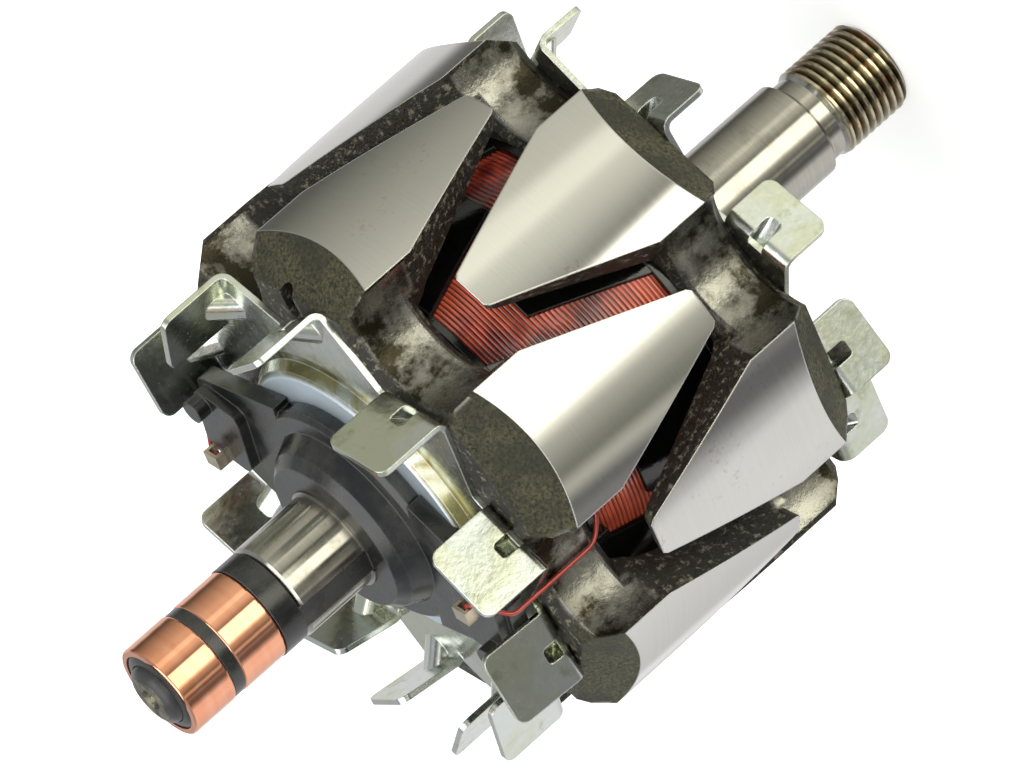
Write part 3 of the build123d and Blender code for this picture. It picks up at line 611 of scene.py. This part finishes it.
def shaft_steel_finish():
    """Ground journals with a fine grain round them, an oily thread with painted shade and highlights, and a
    hammered end with a dark collar.
    """
    finish, place = start_finish("ground_carbon_steel")
    x, y, z, radius = shaft_coordinates(finish, place)
    angle = add(finish, "Math", {0: y, 1: x}, operation="ARCTAN2")
    faint_angle = add(finish, "Math", {0: angle, 1: 0.2 * MM}, operation="MULTIPLY")
    round_shaft = add(finish, "CombineXYZ", {"X": faint_angle, "Z": z})
    rings = add(finish, "TexNoise", {
        "Vector": round_shaft, "Scale": 1 / (0.6 * MM), "Detail": 3.0, "Roughness": 0.6,
    })
    stain = add(finish, "TexNoise", {
        "Vector": place, "Scale": 1 / (4.0 * MM), "Detail": 6.0, "Roughness": 0.65,
    })
    dents = add(finish, "TexNoise", {"Vector": place, "Scale": 1 / (1.6 * MM), "Detail": 3.0})

    # The journals and the thread.
    ring_tone = add(finish, "MapRange", {"Value": rings, "From Min": 0.35, "From Max": 0.65}, **smooth)
    ground = add(finish, "Mix", {
        "Factor": ring_tone, "A": linear("#A7A39B"), "B": linear("#ACA8A0"),
    }, **in_colour)
    oil = add(finish, "MapRange", {
        "Value": stain, "From Min": 0.5, "From Max": 0.70, "To Max": 0.28,
    }, **smooth)
    ground = add(finish, "Mix", {"Factor": oil, "A": ground, "B": linear("#6E675C")}, **in_colour)
    film = thread_colour_with_painted_light(finish, radius, stain, oil)
    threaded = add(finish, "MapRange", {
        "Value": z, "From Min": thread_end, "From Max": thread_end + 0.5 * MM, "To Min": 1.0, "To Max": 0.0,
    })
    steel = add(finish, "Mix", {"Factor": threaded, "A": ground, "B": film}, **in_colour)

    # The hammered end: a dented middle, and a collar of moulding flash round it.
    staked = add(finish, "MapRange", {"Value": z, "From Min": staked_end - 0.5 * MM, "From Max": staked_end})
    collar = add(finish, "MapRange", {
        "Value": radius, "From Min": collar_radius - 0.1 * MM, "From Max": collar_radius + 0.1 * MM,
    })
    flashed = add(finish, "Math", {0: collar, 1: staked}, operation="MULTIPLY")
    bare = add(finish, "Math", {0: staked, 1: flashed}, operation="SUBTRACT")
    hammered = add(finish, "Math", {0: dents, 1: bare}, operation="MULTIPLY")
    grimy = add(finish, "Mix", {"Factor": dents, "A": linear("#15130F"), "B": linear("#A39C86")}, **in_colour)
    worked = add(finish, "Mix", {"Factor": staked, "A": steel, "B": grimy}, **in_colour)

    polish = add(finish, "MapRange", {
        "Value": stain, "From Min": 0.3, "From Max": 0.7, "To Min": 0.15, "To Max": 0.22,
    })
    fine = add(finish, "Bump", {"Height": rings, "Distance": 0.0003 * MM, "Strength": 0.2})
    add(finish, finish.node_tree.nodes["Principled BSDF"], {
        "Base Color": add(finish, "Mix", {
            "Factor": flashed, "A": worked, "B": linear("#343434"),
        }, **in_colour),
        "Metallic": add(finish, "Math", {0: 1.0, 1: flashed}, operation="SUBTRACT"),
        "Roughness": add(finish, "Mix", {"Factor": staked, "A": polish, "B": 0.38}),
        "Anisotropic": 0.85,
        "Anisotropic Rotation": 0.25,
        "Tangent": add(finish, "Tangent", {}, direction_type="RADIAL", axis="Z"),
        "Normal": add(finish, "Bump", {
            "Height": hammered, "Distance": 0.5 * MM, "Strength": 0.8, "Normal": fine,
        }),
    })
    return finish


shaft_steel = shaft_steel_finish()
print("shaft finish:", shaft_steel.name)

# %% [markdown]
# The winding is copper wire in a red polyester-imide enamel. Light goes through the enamel and comes back
# from the copper, so it looks deep red, with a gloss line along each turn. The gaps between the turns are
# painted near black as shade.

# %% Sizes of the coil
coil_low, coil_high = 62.56 * MM, 92.04 * MM
coil_inner, coil_outer = 21.76 * MM, 33.0 * MM
coil_turns = 38
print("one turn in mm:", round((coil_high - coil_low) / coil_turns / MM, 3))


# %% Red enamelled wire
def enamelled_wire_finish():
    """Deep red enamel with a clear gloss; each turn has its own tone, and the gaps are painted near black as
    shade.
    """
    finish, place = start_finish("red_enamelled_copper_wire")
    _, _, z, radius = shaft_coordinates(finish, place)
    varnish = add(finish, "TexNoise", {"Vector": place, "Scale": 1 / (13.0 * MM), "Detail": 3.0})
    varnish = add(finish, "MapRange", {"Value": varnish, "From Min": 0.38, "From Max": 0.56}, **smooth)
    red = add(finish, "Mix", {"Factor": varnish, "A": linear("#7A1D14"), "B": linear("#F26A49")}, **in_colour)
    height = add(finish, "CombineXYZ", {"Z": z})
    layer = add(finish, "TexNoise", {"Vector": height, "Scale": 1 / (0.8 * MM), "Detail": 1.0})
    turn_tone = add(finish, "MapRange", {
        "Value": layer, "From Min": 0.3, "From Max": 0.7, "To Min": 0.45, "To Max": 1.25,
    })
    red = add(finish, "VectorMath", {0: red, "Scale": turn_tone}, operation="SCALE")

    # Above the coil there are only the two leads, which have no gaps between turns.
    above_coil = add(finish, "Math", {0: z, 1: coil_high + 0.06 * MM}, operation="GREATER_THAN")
    red = add(finish, "Mix", {"Factor": above_coil, "A": red, "B": linear("#A52C20")}, **in_colour)
    # Painted shade: away from the crest of each turn the wire is painted near black, as the gaps between
    # turns would be in shade.
    crest_vs_groove_shade = add(finish, "MapRange", {
        "Value": radius, "From Min": coil_outer - 0.40 * MM, "From Max": coil_outer - 0.15 * MM,
    })
    crest_vs_groove_shade = add(finish, "Math", {0: crest_vs_groove_shade, 1: above_coil}, operation="MAXIMUM")
    add(finish, finish.node_tree.nodes["Principled BSDF"], {
        "Base Color": add(finish, "Mix", {"Factor": crest_vs_groove_shade, "A": linear("#160403"), "B": red}, **in_colour),
        "Metallic": 0.2,
        "Roughness": 0.30,
        "Coat Weight": 1.0,
        "Coat Roughness": 0.06,
    })
    return finish


wire_enamel = enamelled_wire_finish()
print("wire finish:", wire_enamel.name)

# %% [markdown]
# The bobbin is black nylon straight from a polished mould. The slip-ring moulding is a dark grey
# glass-filled thermoset: satin and mottled with dust. Both get a painted highlight, a paler grey, on their
# edges.

# %% Mouldings
def moulded_finish(name, greys, rough_low, rough_high, grit_size):
    """A moulded plastic that wanders between two greys, with the third, paler grey painted on its edges as a
    highlight.
    """
    finish, place = start_finish(name)
    dark, pale, edge_highlight_grey = greys
    mottle = add(finish, "TexNoise", {
        "Vector": place, "Scale": 1 / (6.0 * MM), "Detail": 5.0, "Roughness": 0.6,
    })
    grain = add(finish, "TexNoise", {
        "Vector": place, "Scale": 1 / grit_size, "Detail": 4.0, "Roughness": 0.6,
    })
    mottled = add(finish, "MapRange", {"Value": mottle, "From Min": 0.36, "From Max": 0.66}, **smooth)
    skin = add(finish, "Mix", {"Factor": mottled, "A": linear(dark), "B": linear(pale)}, **in_colour)
    edge = add(finish, "Bevel", {"Radius": 0.35 * MM}, samples=4)
    true_normal = add(finish, "NewGeometry", {}, "True Normal")
    turn = add(finish, "VectorMath", {0: edge, 1: true_normal}, operation="DOT_PRODUCT")
    # Painted highlight: the edges are painted the third, paler grey.
    edge_highlight = add(finish, "MapRange", {"Value": turn, "From Min": 0.995, "From Max": 0.90, "To Max": 0.6})
    add(finish, finish.node_tree.nodes["Principled BSDF"], {
        "Base Color": add(finish, "Mix", {"Factor": edge_highlight, "A": skin, "B": linear(edge_highlight_grey)}, **in_colour),
        "Roughness": add(finish, "MapRange", {
            "Value": mottle, "From Min": 0.3, "From Max": 0.7, "To Min": rough_low, "To Max": rough_high,
        }),
        "IOR": 1.53,
        "Normal": add(finish, "Bump", {
            "Height": grain, "Distance": 0.06 * MM, "Strength": 0.5, "Normal": edge,
        }),
    })
    return finish


# The third grey of each set is a painted highlight for the edges.
nylon_greys = ("#060606", "#0E0E0D", "#1C1B19")
moulding_greys = ("#111212", "#302F2C", "#62615D")
black_nylon = moulded_finish("gloss_black_nylon", nylon_greys, 0.08, 0.16, 1.2 * MM)
grey_moulding = moulded_finish("satin_grey_moulding", moulding_greys, 0.18, 0.34, 1.0 * MM)
print("mouldings:", black_nylon.name, grey_moulding.name)

# %% [markdown]
# The slip rings are drawn copper tube, polished by the brushes. Each brush leaves bands with a brighter or
# browner tone, so the colour follows the height along the shaft. The hooks are brass with a dull tin skin.

# %% Copper and brass
def copper_finish(name, colours, rough_low, rough_high, band_width):
    """Copper or brass whose tone and gloss change in bands round the shaft, with a little tarnish."""
    finish, place = start_finish(name)
    bright, deep, tarnish = colours
    z = add(finish, "SeparateXYZ", {"Vector": place}).node.outputs[2]
    height = add(finish, "CombineXYZ", {"Z": z})
    bands = add(finish, "TexNoise", {
        "Vector": height, "Scale": 1 / band_width, "Detail": 2.0, "Roughness": 0.5,
    })
    smear = add(finish, "TexNoise", {"Vector": place, "Scale": 1 / (3.0 * MM), "Detail": 5.0})
    banded = add(finish, "MapRange", {"Value": bands, "From Min": 0.35, "From Max": 0.65}, **smooth)
    colour = add(finish, "Mix", {"Factor": banded, "A": linear(bright), "B": linear(deep)}, **in_colour)
    tarnished = add(finish, "MapRange", {
        "Value": smear, "From Min": 0.58, "From Max": 0.74, "To Max": 0.45,
    }, **smooth)
    add(finish, finish.node_tree.nodes["Principled BSDF"], {
        "Base Color": add(finish, "Mix", {
            "Factor": tarnished, "A": colour, "B": linear(tarnish),
        }, **in_colour),
        "Metallic": 1.0,
        "Roughness": add(finish, "MapRange", {
            "Value": bands, "From Min": 0.3, "From Max": 0.7, "To Min": rough_low, "To Max": rough_high,
        }),
        "Anisotropic": 0.8,
        "Anisotropic Rotation": 0.25,
        "Tangent": add(finish, "Tangent", {}, direction_type="RADIAL", axis="Z"),
        "Normal": add(finish, "Bump", {"Height": smear, "Distance": 0.002 * MM, "Strength": 0.2}),
    })
    return finish


ring_colours = ("#E8A07E", "#EEAC8C", "#D88C68")
hook_colours = ("#C4B6A0", "#DDCFB9", "#8E7C66")
ring_copper = copper_finish("brush_polished_copper", ring_colours, 0.05, 0.06, 2.6 * MM)
terminal_brass = copper_finish("dull_tinned_brass", hook_colours, 0.22, 0.34, 2.0 * MM)
print("finishes so far:", len(bpy.data.materials))

# %% [markdown]
# The shaft is one turned surface: a profile of radius against height, carried round the axis. The rolled
# thread is the same surface with its radius lowered by a ramp that climbs one pitch in each turn, and the
# two slots for the ring conductors are flat-bottomed notches in it. Both ends have a centre hole.

# %% The shaft's profile
turned_corners = (
    # height and radius in mm: thread, relief, front journal, middle, rear journal, neck, domed end
    (0.0, 7.0), (1.0, 8.0), (12.9, 8.0),
    (13.8, 7.3), (16.2, 7.3),
    (17.1, 8.5), (47.6, 8.5),
    (47.6001, 9.0), (116.9, 9.0),
    (116.9001, 8.5), (129.5, 8.5), (130.4, 7.6),
    (130.4001, 5.4), (153.3, 5.4),
    (154.4, 5.0), (154.9, 4.2), (155.1, 3.4),
)
centre_hole_corners = (
    # radius and depth in mm, from the hole's bottom to the end face
    (0.02, 3.2), (0.9, 1.2), (1.9, 0.0), (3.0, 0.0),
)
thread_rows_end = 14.0 * MM
flank_slope, crest_flat = 1.5, 0.45
slot_floor = 5.4 * MM
slot_half_width = 2.25 * MM
slotted_radius = 9.0 * MM
slot_start, slot_end = 108.73 * MM, 130.4 * MM
slot_angles = np.radians([87.0, 267.0])


def turned_radius(z):
    """Radius of the plain shaft at each height: straight lines between the turned corners."""
    heights, radii = np.array(turned_corners).T
    return np.interp(z / MM, heights, radii) * MM


def thread_groove(z, angle):
    """Depth: a V between flat crests, its phase rising one pitch per turn, fading out at the relief."""
    phase = np.mod(z / thread_pitch - angle / (2 * np.pi), 1.0)
    valley = np.clip((1.0 - 2.0 * np.abs(phase - 0.5)) * flank_slope - crest_flat, 0.0, 1.0)
    fade = np.clip((thread_end + 0.5 * MM - z) / (0.8 * MM), 0.0, 1.0)
    return thread_depth * valley * fade


print("radius of the front journal in mm:", round(float(turned_radius(30.0 * MM)) / MM, 2))


# %% The shaft as one turned surface
def shaft_heights():
    """Rows: many on the thread, one at each corner, and two a hair apart where a step must stay crisp."""
    hair = 0.02 * MM
    thread_rows = np.linspace(0.05 * MM, thread_rows_end, 150)
    steps = np.array([47.6 * MM, slot_start, 116.9 * MM, slot_end])
    corners = np.array([0.0, 1.0, 13.8, 16.2, 16.25, 17.1, 129.5, 153.3, 153.9, 154.4, 154.7, 154.9]) * MM
    plain_rows = np.linspace(18.0, 154.0, 60) * MM
    rows = [thread_rows, steps - hair, steps + hair, corners, [shaft_length], plain_rows]
    return np.unique(np.concatenate(rows))


def shaft_points():
    """Turned radius less the thread. A slot's floor is flat: radius = floor / cos(angle from its middle)."""
    edge = np.arcsin(slot_half_width / slotted_radius)
    slot_edges = [slot_angles + side * edge + shift for side in (-1, 1) for shift in (-0.002, 0.002)]
    angles = np.unique(np.concatenate([np.linspace(0, 2 * np.pi, 180, endpoint=False), *slot_edges]))
    z, a = np.meshgrid(shaft_heights(), angles, indexing="ij")
    radius = turned_radius(z)
    threaded = np.minimum(radius, thread_crest - thread_groove(z, a))
    radius = np.where(z > thread_rows_end, radius, threaded)
    for slot_angle in slot_angles:
        turn = np.arctan2(np.sin(a - slot_angle), np.cos(a - slot_angle))
        inside = (np.abs(turn) < edge) & (z > slot_start) & (z < slot_end)
        radius = np.where(inside, np.minimum(radius, slot_floor / np.cos(turn)), radius)
    points = np.stack([radius * np.cos(a), radius * np.sin(a), z], -1)
    hole_radii, hole_depths = np.array(centre_hole_corners).T * MM
    hole_r, hole_a = np.meshgrid(hole_radii, angles, indexing="ij")
    hole_z = np.broadcast_to(hole_depths[:, None], hole_r.shape)
    low_hole = np.stack([hole_r * np.cos(hole_a), hole_r * np.sin(hole_a), hole_z], -1)
    top_hole = low_hole[::-1] * (1, 1, -1) + (0, 0, shaft_length)
    return np.concatenate([low_hole, points, top_hole])


shaft_surface = grid_mesh("turned_shaft_with_thread", shaft_points())
shaft_surface.data.set_sharp_from_angle(angle=math.radians(40))
shaft_surface.data.materials.append(shaft_steel)
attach(shaft_surface, "root")
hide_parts("shaft")
print("shaft faces:", len(shaft_surface.data.polygons))

# %% [markdown]
# The coil shows only its outer layer: about 38 turns of wire that climb the bobbin like a thread. One closed
# ring is enough, its outside lifted into half-round ridges whose phase advances once per turn.

# %% The winding as one ridged ring
wire_radius = 0.385 * MM
rows_per_turn = 7
coil_inset = 0.12 * MM
coil_wobble = 0.10 * MM
turn_scatter = 12.9898


def winding_points():
    """Outside: outer radius less the sag of a circle across each turn, plus a wobble that differs by turn."""
    heights = np.linspace(coil_low, coil_high, coil_turns * rows_per_turn + 1)
    angles = np.linspace(0, 2 * np.pi, 240, endpoint=False)
    z, a = np.meshgrid(heights, angles, indexing="ij")
    turn = (z - coil_low) / (coil_high - coil_low) * coil_turns - a / (2 * np.pi)
    offset = (np.mod(turn, 1.0) - 0.5) * 2.0
    sag = wire_radius * (1.0 - np.sqrt(np.clip(1.0 - 0.96 * offset**2, 0.0, 1.0)))
    turn_number = np.floor(turn)
    wobble = coil_wobble * np.sin(turn_scatter * turn_number) * (0.6 + 0.4 * np.sin(3 * a + turn_number))
    radius = coil_outer - coil_inset - sag + wobble * (1.0 - offset**2) * 0.8
    outside = np.stack([radius * np.cos(a), radius * np.sin(a), z], -1)
    bore = turn_profile(np.array([coil_inner, coil_inner]), np.array([coil_high, coil_low]), len(angles))
    return np.concatenate([outside, bore])


winding = grid_mesh("wound_field_coil", winding_points(), wrap_rows=True)
winding.data.set_sharp_from_angle(angle=math.radians(70))
winding.data.materials.append(wire_enamel)
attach(winding, "root")
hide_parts("field_winding")
print("coil faces:", len(winding.data.polygons))

# %% [markdown]
# A slip ring is a short copper tube. Brushes wear it into a few shallow tracks, a hundredth of a
# millimetre deep, which break the long highlight into bands.

# %% Slip rings as worn lathe surfaces
ring_bore, ring_outer, ring_bevel = 7.0 * MM, 8.15 * MM, 0.25 * MM
track_depth = 0.012 * MM


def ring_points(low, high, track_shift):
    """Closed tube: bevelled outside lowered by three smooth brush tracks, and a plain bore."""
    s = np.linspace(0.0, 1.0, 41)
    z = low + (high - low) * s
    waves = 0.5 * (1.0 + np.cos(2 * np.pi * (3 * s + track_shift)))
    wear = track_depth * waves * np.clip(6 * s * (1 - s), 0, 1)
    radius = ring_outer - wear - np.clip(ring_bevel - np.minimum(z - low, high - z), 0.0, ring_bevel)
    radii = np.concatenate([radius, [ring_bore, ring_bore]])
    return turn_profile(radii, np.concatenate([z, [high, low]]), 144)


for ring_name, node_name, low, high, track_shift in (
    ("worn_inner_ring", "inner_slip_ring", 134.6 * MM, 143.0 * MM, 0.1),
    ("worn_outer_ring", "outer_slip_ring", 145.1 * MM, 153.4 * MM, 0.45),
):
    worn_ring = grid_mesh(ring_name, ring_points(low, high, track_shift), wrap_rows=True)
    worn_ring.data.set_sharp_from_angle(angle=math.radians(35))
    worn_ring.data.materials.append(ring_copper)
    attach(worn_ring, "root")
    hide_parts(node_name)
    print(ring_name, "faces:", len(worn_ring.data.polygons))

# %% [markdown]
# Moulding compound fills the outer ring up to its edge, in a shallow cone round the shaft's end. The CAD
# stops a little deeper, so this piece is added and replaces nothing.

# %% The filling at the end of the outer ring
filling_corners = (
    # radius and height in mm
    (5.45, 152.45), (6.97, 152.45), (6.97, 153.10), (6.80, 153.25), (6.10, 153.50), (5.45, 153.60),
)
filling_radii, filling_heights = np.array(filling_corners).T * MM
filling = grid_mesh("ring_end_filling", turn_profile(filling_radii, filling_heights, 120), wrap_rows=True)
filling.data.set_sharp_from_angle(angle=math.radians(40))
filling.data.materials.append(grey_moulding)
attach(filling, "root")
print("filling faces:", len(filling.data.polygons))

# %% [markdown]
# Both ends of the wire leave the coil, climb a valley of the rear pole and end in a hook. A bent wire has no
# sharp corners, so the straight CAD route is rounded by a moving average, and a circle is carried along it.

# %% The route of a lead
lead_wire_radius = 0.37 * MM
lead_rows, lead_columns, smoothing_rows = 220, 20, 25
lead_route = (
    # radius in mm, angle past the lead's own valley in degrees, height in mm
    (33.48, 8.0, 91.59), (34.85, 4.0, 91.59), (35.55, 0.0, 93.3), (36.25, -1.5, 95.1),
    (36.25, -1.5, 111.73), (32.08, 4.0, 115.33), (29.55, 1.5, 115.33), (29.55, -3.5, 115.33),
)


def smoothed_line(corners, rows, window_rows):
    """Evenly spaced points on a line through the corners, then a moving average with a bell-shaped window."""
    steps = np.linalg.norm(np.diff(corners, axis=0), axis=1)
    length = np.concatenate([[0.0], np.cumsum(steps)])
    s = np.linspace(0.0, length[-1], rows)
    line = np.stack([np.interp(s, length, corners[:, axis]) for axis in range(3)], -1)
    window = np.hanning(window_rows) / np.hanning(window_rows).sum()
    half = window_rows // 2
    padded = np.concatenate([np.repeat(line[:1], half, 0), line, np.repeat(line[-1:], half, 0)])
    return (np.lib.stride_tricks.sliding_window_view(padded, window_rows, axis=0) * window).sum(-1)


print("corners on each lead:", len(lead_route))


# %% The two leads as smooth wires
def lead_points(lead_angle):
    """Circles across the smoothed route, each square to the route's direction."""
    r, turn, z = np.array(lead_route).T
    a = np.radians(lead_angle + turn)
    corners = np.stack([r * np.cos(a), r * np.sin(a), z], -1) * MM
    line = smoothed_line(corners, lead_rows, smoothing_rows)
    along = np.gradient(line, axis=0)
    along /= np.linalg.norm(along, axis=1, keepdims=True)
    out_angle = math.radians(lead_angle + 30.0)
    side = np.cross(along, np.array([math.cos(out_angle), math.sin(out_angle), 0.3]))
    side /= np.linalg.norm(side, axis=1, keepdims=True)
    up = np.cross(side, along)
    around = np.linspace(0, 2 * np.pi, lead_columns, endpoint=False)
    taper = np.concatenate([[0.03, 0.8], np.ones(lead_rows - 4), [0.8, 0.03]])
    circle = np.cos(around)[None, :, None] * side[:, None] + np.sin(around)[None, :, None] * up[:, None]
    return line[:, None] + taper[:, None, None] * lead_wire_radius * circle


for lead_name, node_name, lead_angle in (
    ("start_wire", "start_lead", 88.0),
    ("finish_wire", "finish_lead", 268.0),
):
    lead = grid_mesh(lead_name, lead_points(lead_angle))
    lead.data.materials.append(wire_enamel)
    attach(lead, "root")
    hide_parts(node_name)
    print(lead_name, "faces:", len(lead.data.polygons))

# %% [markdown]
# The other solids have the right form already, so they only get their finish in place of the plain one.

# %% Finishes on the CAD solids
node_finishes = {
    "front_pole_half": front_pole_steel,
    "rear_pole_half": rear_pole_steel,
    "pole_core": front_pole_steel,
    "bobbin": black_nylon,
    "front_fan": zinc_plate,
    "rear_fan": zinc_plate,
    "slip_ring_moulding": grey_moulding,
    "outer_ring_conductor": terminal_brass,
    "inner_ring_conductor": terminal_brass,
}
for node_name, finish in node_finishes.items():
    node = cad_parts[node_name]
    for slot_item in node.material_slots:
        slot_item.material = finish
print("nodes dressed:", len(node_finishes))
